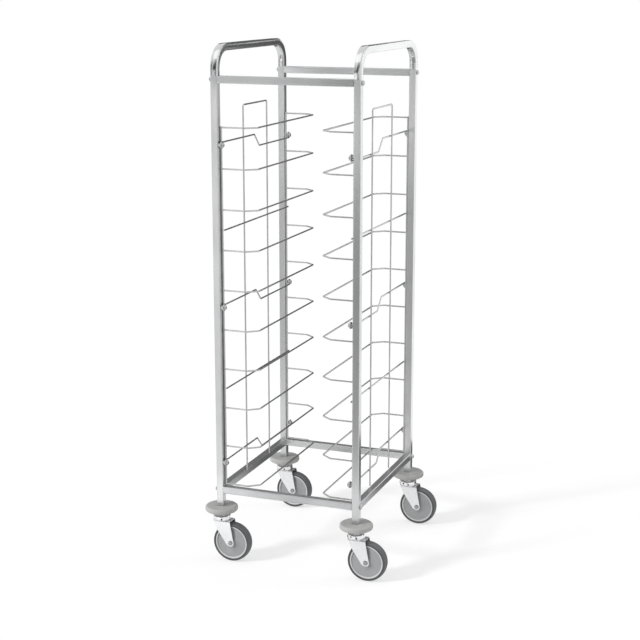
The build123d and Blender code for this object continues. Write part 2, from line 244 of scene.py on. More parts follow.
print("points in a hexagon nut:", len(prism(10.0, 6, 0.0, 5.0, 0.5)[0]))

# %% [markdown]
# ## Finishes: a brush for node trees
#
# A material is a small graph. Two helpers keep the recipes short: one adds a node with its inputs set,
# and one makes noise in Object coordinates, which are metres here. Stretching the noise along one axis
# turns blotches into grinding lines, and that is all that tells satin steel from plain grey.


# %% Node helpers
def new_material(name):
    """An empty node material with its shader, and the graph to add to."""
    material = bpy.data.materials.new(name)
    material.use_nodes = True
    tree = material.node_tree
    return material, tree, tree.nodes["Principled BSDF"]


def node(tree, kind, settings=None, **inputs):
    """A node with its settings and inputs.

    An input goes by its name, or by its number as i0, i1 and so on. It is a value or another node's socket.
    """
    made = tree.nodes.new(kind)
    for key, value in (settings or {}).items():
        setattr(made, key, value)
    for key, value in inputs.items():
        socket = made.inputs[int(key[1:])] if key[0] == "i" and key[1:].isdigit() else made.inputs[key]
        if isinstance(value, bpy.types.NodeSocket):
            tree.links.new(value, socket)
        else:
            socket.default_value = value
    return made


def object_coordinates(tree):
    """The Object coordinates: metres in the trolley's own frame."""
    return node(tree, "ShaderNodeTexCoord").outputs["Object"]


def stretched_noise(tree, place, scale, detail=4.0, roughness=0.55):
    """Noise whose three scales, per metre, may differ: a small one gives long lines along that axis."""
    grown = node(tree, "ShaderNodeVectorMath", {"operation": "MULTIPLY"}, i0=place, i1=scale)
    settings = {"Scale": 1.0, "Detail": detail, "Roughness": roughness}
    return node(tree, "ShaderNodeTexNoise", Vector=grown.outputs[0], **settings).outputs["Fac"]


def between(tree, value, low, high, from_low=0.3, from_high=0.7):
    """The value moved from one range to another, and held there."""
    limits = {"From Min": from_low, "From Max": from_high, "To Min": low, "To Max": high}
    return node(tree, "ShaderNodeMapRange", Value=value, **limits).outputs["Result"]


def shade_between(tree, value, dark, light):
    """A colour between two others, chosen by a value from 0 to 1."""
    mix = node(tree, "ShaderNodeMix", {"data_type": "RGBA"}, i0=value)
    mix.inputs[6].default_value = (*dark, 1)
    mix.inputs[7].default_value = (*light, 1)
    return mix.outputs[2]


def bump(tree, shader, height, strength, distance, under=None):
    """Small relief, its depth a distance in metres, which may lie on a coarser relief under it."""
    relief = node(tree, "ShaderNodeBump", Height=height, Strength=strength, Distance=distance)
    if under is not None:
        tree.links.new(under, relief.inputs["Normal"])
    tree.links.new(relief.outputs["Normal"], shader.inputs["Normal"])


# %% [markdown]
# ## Satin steel on the tubes
#
# The tube is ground along its length before it is bent, so the lines follow it round the hoops. A hoop is
# a path of upright, quarter bend and top run. For a point in the bend, the distance along the tube is the
# bend's radius times the angle, and the distance across is how far the point lies from the bend's centre.
# The graph works both out, so the same noise runs round the corner without a break.


# %% Satin steel
GRAIN_ALONG = 14.0  # grinding lines per metre, along the tube
GRAIN_ACROSS = 1500.0  # and across it
STEEL_DARK = (0.52, 0.525, 0.53)
STEEL_LIGHT = (0.70, 0.705, 0.71)
SATIN = (0.38, 0.28)  # roughness of the dullest and the brightest lines
POLISHED = (0.24, 0.15)
CLOUDS_ALONG = 3.0  # slow changes of tone, per metre
CLOUDS_ACROSS = 9.0
LINES_SHARE = 0.6  # of the tone; the clouds have the rest
CLOUDS_SHARE = 0.4
GRAIN_DEPTH = 0.00004
GRAIN_RELIEF = (0.25, 0.05)  # how strongly the lines show as relief, where satin and where polished
RIDGES_ALONG = 2.5  # faint ridges that bending and polishing leave, per metre along the tube
RIDGES_ACROSS = 90.0
RIDGE_DEPTH = 0.0012
RIDGE_RELIEF = (0.08, 1.0)
DOME_RADIUS = 0.036  # polishing leaves each face of the tube a little domed across
ACROSS_SPREAD = 0.5  # how much wider a highlight runs across the lines than along them
QUARTER_TURN = 0.25


def blend_values(tree, share, first, second):
    """A number between two others, by a share from 0 to 1."""
    mix = node(tree, "ShaderNodeMix", {"data_type": "FLOAT"}, i0=share, i2=first, i3=second)
    return mix.outputs[0]


def satin_surface(tree, shader, lined_up, grain, polish=0.0, dome=0.0):
    """Colour, roughness and relief of ground steel, from a place whose X runs along the tube.

    The tone is mostly fine grinding lines with some slow clouds. Polish from 0 to 1 takes the lines away and
    shows soft ridges and a dome across each face in their place. Grain is the direction of the lines, and
    highlights spread across it, so the tangent is turned a quarter round.
    """
    lines = stretched_noise(tree, lined_up, (GRAIN_ALONG, GRAIN_ACROSS, GRAIN_ACROSS), detail=3.0)
    clouds = stretched_noise(tree, lined_up, (CLOUDS_ALONG, CLOUDS_ACROSS, CLOUDS_ACROSS), detail=5.0)
    drift = between(tree, clouds, 0.0, CLOUDS_SHARE)
    weigh = {"operation": "MULTIPLY_ADD"}
    tone = node(tree, "ShaderNodeMath", weigh, i0=lines, i1=LINES_SHARE, i2=drift).outputs[0]
    share = between(tree, tone, 0.0, 1.0, 0.25, 0.75)
    tree.links.new(shade_between(tree, share, STEEL_DARK, STEEL_LIGHT), shader.inputs["Base Color"])
    satin = between(tree, tone, *SATIN, 0.2, 0.8)
    polished = between(tree, tone, *POLISHED, 0.2, 0.8)
    tree.links.new(blend_values(tree, polish, satin, polished), shader.inputs["Roughness"])
    shader.inputs["Metallic"].default_value = 1.0
    shader.inputs["Anisotropic"].default_value = ACROSS_SPREAD
    shader.inputs["Anisotropic Rotation"].default_value = QUARTER_TURN
    tree.links.new(grain, shader.inputs["Tangent"])
    ridges = stretched_noise(tree, lined_up, (RIDGES_ALONG, RIDGES_ACROSS, RIDGES_ACROSS), detail=1.0)
    ridge_strength = blend_values(tree, polish, *RIDGE_RELIEF)
    domed = node(tree, "ShaderNodeBump", Height=dome, Strength=polish, Distance=1.0).outputs["Normal"]
    pull = {"Height": ridges, "Strength": ridge_strength, "Distance": RIDGE_DEPTH, "Normal": domed}
    pulled = node(tree, "ShaderNodeBump", **pull).outputs["Normal"]
    bump(tree, shader, lines, blend_values(tree, polish, *GRAIN_RELIEF), GRAIN_DEPTH, pulled)


def satin_steel(name, along):
    """Ground steel for a straight tube that lies along x, y or z."""
    material, tree, shader = new_material(name)
    parts = node(tree, "ShaderNodeSeparateXYZ", Vector=object_coordinates(tree))
    order = {"x": "XYZ", "y": "YZX", "z": "ZXY"}[along]
    reordered = {to: parts.outputs[of] for to, of in zip("XYZ", order)}
    lined_up = node(tree, "ShaderNodeCombineXYZ", **reordered)
    grain = node(tree, "ShaderNodeCombineXYZ", **{along.upper(): 1.0})
    satin_surface(tree, shader, lined_up.outputs[0], grain.outputs[0])
    return material


# %% Satin steel round a hoop
HOOP_BEND = 0.065  # centre line radius of the bends
BAR_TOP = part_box("top_bar_front")[1].z
POLISH_EDGE = 0.001  # half the width of the border between satin and polish


def hoop_steel(name, middle_x, half_width, half_depth, hoop_top):
    """Ground steel that follows a hoop: along = height, then bend radius times angle, then the top run.

    Hands hold the hoop above the bars, so from there up it is polished. There each face is domed: the
    surface falls away with the square of the distance from the tube's centre line.
    """
    material, tree, shader = new_material(name)
    parts = node(tree, "ShaderNodeSeparateXYZ", Vector=object_coordinates(tree))

    def maths(operation, *values):
        inputs = {f"i{index}": value for index, value in enumerate(values)}
        return node(tree, "ShaderNodeMath", {"operation": operation}, **inputs).outputs[0]

    outward = maths("SUBTRACT", maths("ABSOLUTE", parts.outputs["Y"]), half_depth - HOOP_BEND)
    upward = maths("SUBTRACT", parts.outputs["Z"], hoop_top - HOOP_BEND)
    past_y = maths("MAXIMUM", outward, 0.0)
    past_z = maths("MAXIMUM", upward, 0.0)
    angle = maths("ARCTAN2", past_z, past_y)
    before = maths("MINIMUM", upward, 0.0)
    after = maths("MULTIPLY", maths("MINIMUM", outward, 0.0), -1.0)
    along = maths("ADD", maths("ADD", before, after), maths("MULTIPLY", angle, HOOP_BEND))
    reach = maths("SQRT", maths("ADD", maths("MULTIPLY", past_y, past_y), maths("MULTIPLY", past_z, past_z)))
    lined_up = node(tree, "ShaderNodeCombineXYZ", X=along, Y=parts.outputs["X"], Z=reach)
    side = maths("SIGN", parts.outputs["Y"])
    turned_in = maths("MULTIPLY", maths("MULTIPLY", past_z, side), -1.0)
    grain = node(tree, "ShaderNodeCombineXYZ", Y=turned_in, Z=past_y)
    grain = node(tree, "ShaderNodeVectorMath", {"operation": "NORMALIZE"}, i0=grain.outputs[0])
    polish = between(tree, parts.outputs["Z"], 0.0, 1.0, BAR_TOP - POLISH_EDGE, BAR_TOP + POLISH_EDGE)
    off_middle = maths("ABSOLUTE", maths("SUBTRACT", parts.outputs["X"], middle_x))
    beside = maths("SUBTRACT", off_middle, half_width)
    beyond = maths("SUBTRACT", reach, HOOP_BEND)
    squares = maths("ADD", maths("MULTIPLY", beside, beside), maths("MULTIPLY", beyond, beyond))
    dome = maths("MULTIPLY", squares, -0.5 / DOME_RADIUS)
    satin_surface(tree, shader, lined_up.outputs[0], grain.outputs[0], polish, dome)
    return material


hoop_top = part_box("side_frame_left")[1].z - tube_width / 2
half_width, half_depth = ((swivel_axis["back_right"] - swivel_axis["front_left"]) / 2)[:2]
steel_hoop = hoop_steel("satin_steel_hoop", frame_centre[0], half_width, half_depth, hoop_top)
steel_bar = satin_steel("satin_steel_bar", "x")
steel_rail = satin_steel("satin_steel_rail", "y")
print("hoop top, mm:", round(hoop_top / MM, 1), "half depth, mm:", round(half_depth / MM, 1))

# %% [markdown]
# ## The other finishes
#
# The rack wire is drawn and then electropolished: very smooth, with faint draw marks. The castors are
# zinc plated, a bright and slightly cloudy white metal. The bumper, the wheel centre and the tyre are
# moulded: their colour is even, their gloss is low, and a fine grain from the mould keeps highlights
# soft. The tyre's tread alone takes a lighter copy of its rubber, which is painted light on the tread.


# %% Plated and polished metal
FINE_GRAIN = 2600.0  # grains per metre


def plated(name, dark, light, smooth, rough, cloud_scale, relief=0.00002):
    """Metal whose tone and roughness drift in soft clouds, over a fine grain of its own depth."""
    material, tree, shader = new_material(name)
    place = object_coordinates(tree)
    clouds = stretched_noise(tree, place, (cloud_scale,) * 3, detail=6.0, roughness=0.6)
    grain = stretched_noise(tree, place, (FINE_GRAIN,) * 3, detail=2.0)
    tone = between(tree, clouds, 0.0, 1.0)
    tree.links.new(shade_between(tree, tone, dark, light), shader.inputs["Base Color"])
    tree.links.new(between(tree, clouds, smooth, rough), shader.inputs["Roughness"])
    shader.inputs["Metallic"].default_value = 1.0
    bump(tree, shader, grain, 0.2, relief)
    return material


wire_steel = plated("polished_wire", (0.46, 0.46, 0.46), (0.56, 0.56, 0.56), 0.16, 0.24, 14.0, 0.000004)
weld_steel = plated("weld_bead", (0.44, 0.44, 0.45), (0.62, 0.62, 0.62), 0.22, 0.36, 300.0)
bolt_steel = plated("bolt_steel", (0.46, 0.46, 0.47), (0.56, 0.56, 0.57), 0.08, 0.14, 60.0, 0.000004)
zinc = plated("zinc_plate", (0.80, 0.81, 0.83), (0.91, 0.91, 0.92), 0.26, 0.40, 90.0)
# The axle bolt is darker than the other steel: painted shade that stands in for the dark ring of shade round
# its head and washer
axle_steel = plated("axle_steel", (0.34, 0.34, 0.35), (0.44, 0.44, 0.45), 0.14, 0.24, 60.0, 0.000004)
race_chrome = plated("bright_race", (0.78, 0.78, 0.79), (0.86, 0.86, 0.87), 0.06, 0.12, 80.0, 0.000006)
ball_chrome = plated("bearing_steel", (0.70, 0.70, 0.71), (0.76, 0.76, 0.77), 0.05, 0.1, 200.0, 0.000004)


# %% Moulded plastic and rubber
def moulded(name, dark, light, roughness, grain_scale, relief, cloud_scale=25.0):
    """Plastic or rubber: nearly one colour, with the fine grain of its mould."""
    material, tree, shader = new_material(name)
    place = object_coordinates(tree)
    clouds = stretched_noise(tree, place, (cloud_scale,) * 3, detail=5.0)
    grain = stretched_noise(tree, place, (grain_scale,) * 3, detail=3.0, roughness=0.7)
    tone = between(tree, clouds, 0.0, 1.0)
    tree.links.new(shade_between(tree, tone, dark, light), shader.inputs["Base Color"])
    tree.links.new(between(tree, grain, roughness - 0.06, roughness + 0.08), shader.inputs["Roughness"])
    bump(tree, shader, grain, 0.35, relief)
    return material


bumper_plastic = moulded("bumper_plastic", (0.42, 0.42, 0.41), (0.48, 0.48, 0.47), 0.36, 1500.0, 0.00006)
wheel_plastic = moulded("wheel_plastic", (0.31, 0.315, 0.32), (0.37, 0.375, 0.38), 0.33, 1200.0, 0.00005)
ring_plastic = moulded("ring_plastic", (0.60, 0.605, 0.61), (0.68, 0.685, 0.69), 0.34, 1200.0, 0.00004)
tyre_rubber = moulded("tyre_rubber", (0.062, 0.064, 0.067), (0.088, 0.090, 0.094), 0.48, 900.0, 0.00008)
# The tyre's own rubber in a lighter tone: painted light on the tread, which is made lighter than the sides
tread_painted_light = moulded("tread_painted_light", (0.115, 0.118, 0.122), (0.155, 0.158, 0.162), 0.55, 900.0, 0.00008)
print("materials made:", len(bpy.data.materials))


# %% [markdown]
# ## Finishes onto the frame's own nodes
#
# A node whose shape is right keeps its mesh and only changes its material slot. The names say what each
# one is, so a short table of name beginnings covers them all.

# %% Give the nodes their finish
FINISH_BY_NAME = {
    "side_frame": steel_hoop,
    "side_rail": steel_rail,
    "top_bar": steel_bar,
    "bottom_rail": steel_bar,
    "frame_bolts": bolt_steel,
    "rack_studs": bolt_steel,
    "slide": wire_steel,
    "end_wires": wire_steel,
    "guide_bow": wire_steel,
    "cross_wires": wire_steel,
    "swivel_balls": ball_chrome,
    "bumper": bumper_plastic,
    "swivel_head": race_chrome,
    "fork": zinc,
    "axle": axle_steel,
    "wheel_centre": wheel_plastic,
    "tyre": tyre_rubber,
}
for node_name, cad_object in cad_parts.items():
    finish = next(made for start, made in FINISH_BY_NAME.items() if node_name.startswith(start))
    cad_object.data.materials.clear()
    cad_object.data.materials.append(finish)
print("finishes given to", len(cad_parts), "nodes")

# %% [markdown]
# ## Hoops
#
# Above the bars the hoops are polished, and a mirror shows every facet of a coarse bend. So both hoops
# are made again at the same sizes with bends in steps of two degrees: the tube's rounded square is
# carried up one upright, round a bend, along the top and down again, first the outside and then the
# wall's inside on the way back.

# %% Hoop
TUBE_CORNER = 2.0
TUBE_WALL = 1.2
FLAT_MARGIN = 0.4  # a flat face has points this close to its round corners, so that it is shaded as flat
RING_GAP = 1.0  # and a straight run has a ring this close to its bend, for the same reason
BEND_STEP = 2  # degrees


def tube_outline(half_size, corner):
    """A rounded square with two more points on each flat side, close to the ends of the arcs."""
    arcs = rounded(square_corners(half_size), corner)
    outline = []
    for point, following in zip(arcs, np.roll(arcs, -1, axis=0)):
        outline.append(point)
        length = np.linalg.norm(following - point)
        if length > half_size:
            margin = (following - point) * FLAT_MARGIN / length
            outline += [point + margin, following - margin]
    return np.array(outline)


def hoop_surface(foot, top, reach, bend):
    """The bent tube round the Y-Z plane, from the foot, centre line top, half depth and bend radius.

    A turn of 0 points along +Y and a quarter turn up. Each outline point lies at base + (bend + outward)
    times (cos, sin) of the turn, where the base is a bend's centre, or a place straight below or beside it.
    """
    turn = np.concatenate([[0, 0], np.radians(np.arange(0, 90 + BEND_STEP, BEND_STEP)), [pi / 2]])
    base_y = np.full(len(turn), reach - bend)
    base_z = np.full(len(turn), top - bend)
    base_z[:2] = [foot, top - bend - RING_GAP]
    base_y[-1] -= RING_GAP
    turn = np.concatenate([turn, pi - turn[::-1]])[:, None]
    base_y = np.concatenate([base_y, -base_y[::-1]])[:, None]
    base_z = np.concatenate([base_z, base_z[::-1]])[:, None]
    skins = []
    for inward in (0.0, TUBE_WALL):
        across, outward = tube_outline(tube_width / 2 / MM - inward, TUBE_CORNER - inward).T
        y = base_y + (bend + outward) * np.cos(turn)
        z = base_z + (bend + outward) * np.sin(turn)
        skins.append(np.stack([across + 0 * y, y, z], axis=-1))
    return sheet_of(np.concatenate([skins[0], skins[1][::-1]]), wrap_rows=True, wrap_columns=True)


hoop_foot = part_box("side_frame_left")[0].z / MM
bent_tube = hoop_surface(hoop_foot, hoop_top / MM, half_depth / MM, HOOP_BEND / MM)
for side_name in SIDES:
    place = (swivel_axis[f"front_{side_name}"][0], frame_centre[1], 0.0)
    hoop = add_piece(f"hoop_tube_{side_name}", placed(bent_tube, place), steel_hoop, "root")
    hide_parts(f"side_frame_{side_name}")
print("hoops from", round(hoop_foot, 1), "mm up, points:", len(bent_tube[0]))

# %% [markdown]
# ## Bumpers
#
# A bumper is a thick disc of soft plastic, threaded over the castor's stem, with a square socket for the
# tube's foot. Its surface is one loop of outline carried round the axis, but the loop's inner end is
# square and its outer end round. So every outline point carries a third number, how square it is, and the
# radius is multiplied by a square's own reach to that degree.

# %% Bumper
BUMPER_RADIUS = span("bumper_front_left")[0] / 2 / MM
BUMPER_HEIGHT = span("bumper_front_left")[2] / MM
SOCKET_HALF = tube_width / 2 / MM + 0.2
SOCKET_DEPTH = 6.0
SOCKET_REACH = 1.36  # the socket's corners are cut here; those of a sharp square reach 1.414
STEM_BORE = 6.2
RIM_START = 20.0  # the rim is rounded from a block that starts here
RIM_EDGE = 6.5


def bumper_surface():
    """Outline of (radius, height, squareness) round the axis: up the bore, over the rim and back below."""
    half = BUMPER_HEIGHT / 2
    block = [(RIM_START, -half), (RIM_START, half), (BUMPER_RADIUS, half), (BUMPER_RADIUS, -half)]
    rim = rounded(block, [1, 1, RIM_EDGE, RIM_EDGE], 12)
    rim = rim[rim[:, 0] > RIM_START + 2.0]
    inner = [
        (STEM_BORE, -half, 0),
        (STEM_BORE, half - SOCKET_DEPTH, 0),
        (SOCKET_HALF, half - SOCKET_DEPTH, 1),
        (SOCKET_HALF, half - 0.8, 1),
        (SOCKET_HALF + 0.3, half - 0.2, 1),
        (SOCKET_HALF + 1.0, half, 1),
        (SOCKET_HALF + 5.0, half, 0.3),
    ]
    outline = np.concatenate([np.array(inner, float), np.column_stack([rim, np.zeros(len(rim))])])
    turn = full_turn(128)
    square = np.minimum(polygon_reach(turn, 4), SOCKET_REACH)
    radius = outline[:, 0] * (1 + outline[:, 2] * (square - 1))
    return sheet_of(round_axis(radius, outline[:, 1], turn), wrap_rows=True, wrap_columns=True)


for corner in CORNERS:
    surface = placed(bumper_surface(), swivel_axis[corner])
    bumper = add_piece(f"bumper_moulding_{corner}", surface, bumper_plastic, "root")
    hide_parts(f"bumper_{corner}")
print("bumper, mm:", round(2 * BUMPER_RADIUS, 1), "across and", round(BUMPER_HEIGHT, 1), "thick")

# %% [markdown]
# ## Swivel heads
#
# Above the fork turns nothing: the upper race is a bright cup, fixed to the stem, whose skirt hides the
# balls. A hexagon fills the space up to the bumper, and the stem and its square plug go on into the
# upright. The cup is an outline of a bent plate with round edges inside and out.

# %% Swivel head
head_low, head_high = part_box("swivel_head_front_left")
LOWER_RACE = 6.0  # the fork's race stands this high on its crown
crown_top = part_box("fork_front_left")[1].z / MM - LOWER_RACE
CUP_RADIUS = 28.0
CUP_TOP = crown_top + 15.3
CUP_PLATE = 4.0
CUP_SKIRT = 3.0
SKIRT_GAP = 2.5
STEM = 6.0
RIVET = (10.0, 3.2)  # radius and height
HEXAGON = 24.0  # across its flats, like the plug
PLUG = 19.0
bumper_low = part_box("bumper_front_left")[0].z / MM
plug_low = bumper_low + 11.2  # just above the floor of the bumper's socket


def swivel_head_surface():
    """Cup, kingpin with its rivet head, hexagon, stem and square plug, at their heights above the floor."""
    skirt_low = crown_top + SKIRT_GAP
    cup_corners = [
        (2.0, CUP_TOP - CUP_PLATE),
        (2.0, CUP_TOP),
        (CUP_RADIUS, CUP_TOP),
        (CUP_RADIUS, skirt_low),
        (CUP_RADIUS - CUP_SKIRT, skirt_low),
        (CUP_RADIUS - CUP_SKIRT, CUP_TOP - CUP_PLATE),
    ]
    cup = turned(rounded(cup_corners, [0.2, 0.2, 3.4, 1.2, 1.2, 1.0], 9))
    rivet_low = head_low.z / MM
    pin_corners = [
        (1.0, rivet_low),
        (1.0, plug_low),
        (STEM, plug_low),
        (STEM, rivet_low + RIVET[1]),
        (RIVET[0], rivet_low + RIVET[1]),
        (RIVET[0], rivet_low),
    ]
    pin = turned(rounded(pin_corners, [0.2, 0.2, 0.8, 0.8, 0.8, 2.2], 6), 64)
    collar = prism(HEXAGON, 6, CUP_TOP, bumper_low, 1.6)
    plug = prism(PLUG, 4, plug_low, head_high.z / MM, 1.0, 64)
    return join(cup, pin, collar, plug)


for corner in CORNERS:
    surface = placed(swivel_head_surface(), axis_foot[corner])
    head = add_piece(f"swivel_cup_{corner}", surface, race_chrome, "root")
    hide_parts(f"swivel_head_{corner}")
print("swivel heads from", round(head_low.z / MM, 1), "to", round(head_high.z / MM, 1), "mm")

# %% [markdown]
# ## Forks
#
# A fork is one piece of plate pressed into a U: two cheeks that taper down to the axle, and a crown
# between them. Seen from the side, a cheek is the band round two corners of the crown, a knee and two
# discs near the axle. Such a band is a convex hull, and it has a short formula: look in any direction,
# and the hull's edge is the disc that reaches furthest that way. A single grid then makes the pressing.
# One direction runs across the U, up one cheek, over the crown and down the other, and the other runs
# from the leading edge to the trailing edge at that height. Solidify gives the plate its thickness and
# Bevel its soft edges.

# %% Fork outline
AXLE_X = (axle_centre["front_left"] - swivel_axis["front_left"])[0] / MM
WHEEL_RADIUS = span("tyre_front_left")[2] / 2 / MM
PLATE = 2.5
CHEEK_OUTSIDE = 21.5
CHEEK_MIDDLE = CHEEK_OUTSIDE - PLATE / 2
CHEEK_BEND = 3.2
FORK_FRONT = 21.0
FORK_REAR = 36.0
BOSS = 11.0
TOE = (AXLE_X - 5.0, WHEEL_RADIUS + 2.0)
KNEE = (-8.0, crown_top - 28.0)
CROWN_BORE = 6.1
CROWN_RADIUS = 27.0
RACE_RADII = (15.0, 24.6)  # inside and outside of the lower race


def hull_edge(discs, directions):
    """Edge of the hull of (x, height, radius) discs: in each direction, the furthest point of them all."""
    centre, radius = np.array(discs)[:, :2], np.array(discs)[:, 2]
    outward = np.stack([np.cos(directions), np.sin(directions)], axis=-1)
    furthest = np.argmax(outward @ centre.T + radius, axis=1)
    return centre[furthest] + radius[furthest][:, None] * outward


cheek_discs = [
    (-FORK_FRONT, crown_top, 0.0),
    (*KNEE, 0.0),
    (*TOE, BOSS),
    (AXLE_X, WHEEL_RADIUS, BOSS),
    (FORK_REAR, crown_top, 0.0),
]
leading_edge = hull_edge(cheek_discs, np.linspace(1.5 * pi, 0.51 * pi, 300))
trailing_edge = hull_edge(cheek_discs, np.linspace(-0.5 * pi, 0.49 * pi, 300))
print("cheek from", np.round(leading_edge[0], 1), "up to", np.round(leading_edge[-1], 1))


# %% Fork
def fork_surface():
    """The middle surface of the pressed plate, from the foot of one cheek to the foot of the other.

    At each place across the U, x runs from the leading to the trailing edge by a half turn of the cosine.
    """
    crown = crown_top - PLATE / 2
    bend = np.linspace(0, pi / 2, 8)
    low_turn = np.linspace(0, pi / 2, 16)
    heights = np.concatenate([
        WHEEL_RADIUS - BOSS * np.cos(low_turn),
        np.linspace(WHEEL_RADIUS, crown - CHEEK_BEND, 26)[1:-1],
        crown - CHEEK_BEND + CHEEK_BEND * np.sin(bend),
    ])
    outs = np.concatenate([
        np.full(len(heights) - len(bend), CHEEK_MIDDLE),
        CHEEK_MIDDLE - CHEEK_BEND + CHEEK_BEND * np.cos(bend),
    ])
    top = np.linspace(outs[-1], -outs[-1], 17)[1:-1]
    across = np.concatenate([outs, top, -outs[::-1]])
    up = np.concatenate([heights, np.full(len(top), crown), heights[::-1]])
    front_x = np.interp(up, leading_edge[:, 1], leading_edge[:, 0])
    rear_x = np.interp(up, trailing_edge[:, 1], trailing_edge[:, 0])
    share = (1 - np.cos(np.linspace(0, pi, 20))) / 2
    x = front_x[:, None] + (rear_x - front_x)[:, None] * share
    grid = np.stack([x, across[:, None] + 0 * x, up[:, None] + 0 * x], axis=-1)
    return sheet_of(grid)


def crown_surface():
    """Round crown plate and the raised lower race, one closed outline round the swivel axis."""
    corners = [
        (CROWN_BORE, crown_top - PLATE),
        (CROWN_BORE, crown_top),
        (RACE_RADII[0], crown_top),
        (RACE_RADII[0], crown_top + LOWER_RACE),
        (RACE_RADII[1], crown_top + LOWER_RACE),
        (RACE_RADII[1], crown_top),
        (CROWN_RADIUS, crown_top),
        (CROWN_RADIUS, crown_top - PLATE),
    ]
    return turned(rounded(corners, [0.2, 0.2, 0.5, 0.6, 1.4, 0.6, 1.0, 1.0], 6))


for corner in CORNERS:
    body = f"swivel_{corner}"
    surface = placed(fork_surface(), axis_foot[corner])
    pressing = add_piece(f"fork_pressing_{corner}", surface, zinc, body)
    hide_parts(f"fork_{corner}")
    thicken = pressing.modifiers.new("plate", "SOLIDIFY")
    thicken.thickness = PLATE * MM
    thicken.offset = 0.0
    soften = pressing.modifiers.new("soft_edges", "BEVEL")
    soften.width = 0.7 * MM
    soften.segments = 3
    soften.limit_method = "ANGLE"
    soften.angle_limit = radians(50)
    add_piece(f"fork_crown_{corner}", placed(crown_surface(), axis_foot[corner]), zinc, body)
print("forks made, axle at x =", round(AXLE_X, 1), "mm")

# %% [markdown]
# ## Wheels
#
# The wheel centre is one moulding: a hub, a dished web and a ring that stands proud at the edge. The tyre
# is injected round it, with a flat side, a soft shoulder and a crowned tread. Both are turned shapes, and
# the two outlines share the ring's edge, so that they meet without a gap.

# %% Wheel centre
RING_OUT = 53.45
RING_FOOT = 48.8
RING_SIDE = 14.5


def mirrored(half_outline):
    """A closed outline from its half on one side of the wheel. The other half has its heights negated."""
    half = np.array(half_outline, float)
    return np.concatenate([half, (half * [1, -1])[::-1]])


def wheel_centre_surface():
    """Hub, dished web and ring as one loop of (radius, distance from the wheel's middle plane)."""
    hub_and_web = [(4.1, 18.6), (11.0, 18.6), (12.6, 15.2), (30.0, 12.1), (48.6, 11.0)]
    ring = [(49.9, RING_SIDE), (RING_OUT, RING_SIDE)]
    radii = [0.3, 1.0, 1.6, 30.0, 1.4, 0.9, 0.6]
    return turned(rounded(mirrored(hub_and_web + ring), radii + radii[::-1], 8), 128)


# %% Tyre
TREAD_DROP = 1.9  # how much lower the crowned tread is at its edges
TREAD_DEPTH = 3.0
SHOULDER = 2.6


def tyre_surface():
    """Crowned tread, round shoulders and flat sides with a shallow groove, as one loop.

    The tread's radius falls with the square of the distance from the wheel's middle plane.
    """
    side = span("tyre_front_left")[1] / 2 / MM
    tread_half = side - SHOULDER
    tread_across = tread_half * np.linspace(0, 1, 14)
    tread_radius = WHEEL_RADIUS - TREAD_DROP * (tread_across / tread_half) ** 2
    shoulder_turn = np.linspace(0, pi / 2, 9)[::-1]
    shoulder_across = side - SHOULDER * (1 - np.cos(shoulder_turn))
    shoulder_radius = tread_radius[-1] - SHOULDER * (1 - np.sin(shoulder_turn))
    tread = np.stack([tread_radius, tread_across], axis=-1)
    shoulder = np.stack([shoulder_radius, shoulder_across], axis=-1)[1:]
    groove = [(57.2, side), (56.6, side - 0.35), (55.6, side - 0.35), (55.1, side - 0.1)]
    inner_edge = [(54.5, side - 0.5), (53.55, RING_SIDE + 0.1), (53.5, RING_SIDE - 0.3)]
    half = np.concatenate([tread[1:], shoulder, groove, inner_edge])
    return turned(np.concatenate([tread[:1], mirrored(half)]), 128)


def paint_outside(mesh, centre, limit):
    """Give the second material to faces whose middle is further from the axle than a limit in mm."""
    face_middle = np.empty(len(mesh.polygons) * 3, np.float32)
    mesh.polygons.foreach_get("center", face_middle)
    away = face_middle.reshape(-1, 3) - centre
    radius = np.hypot(away[:, 0], away[:, 2]) / MM
    mesh.polygons.foreach_set("material_index", (radius > limit).astype(np.int32))
    mesh.update()


for corner in CORNERS:
    body = f"wheel_{corner}"
    surface = placed(wheel_centre_surface(), axle_centre[corner], "y")
    disc = add_piece(f"wheel_disc_{corner}", surface, wheel_plastic, body)
    disc.data.materials.append(ring_plastic)
    paint_outside(disc.data, axle_centre[corner], RING_FOOT)
    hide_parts(f"wheel_centre_{corner}")
    surface = placed(tyre_surface(), axle_centre[corner], "y")
    tread = add_piece(f"tyre_band_{corner}", surface, tyre_rubber, body)
    # Faces beyond the tread depth take the lighter rubber: painted light on the tread
    tread.data.materials.append(tread_painted_light)
    paint_outside(tread.data, axle_centre[corner], WHEEL_RADIUS - TREAD_DEPTH)
    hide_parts(f"tyre_{corner}")
print("wheels of", round(2 * WHEEL_RADIUS, 1), "mm made")

# %% [markdown]
# ## Axle bolts
#
# The axle is a bolt with a low, dimpled head on the front cheek and a nut on the back cheek, each on a
# washer. The shaft, washers, head and thread are one turned outline that starts and ends on the axis. The
# nut is a prism whose corners are turned off, as they are when it is cut from hexagon bar.

# %% Axle bolt
SHAFT = 4.0
WASHER = (8.0, 1.0)  # radius and thickness
HEAD = (6.4, 4.0)
NUT_TOP = 6.0
NUT = 13.0  # across its flats


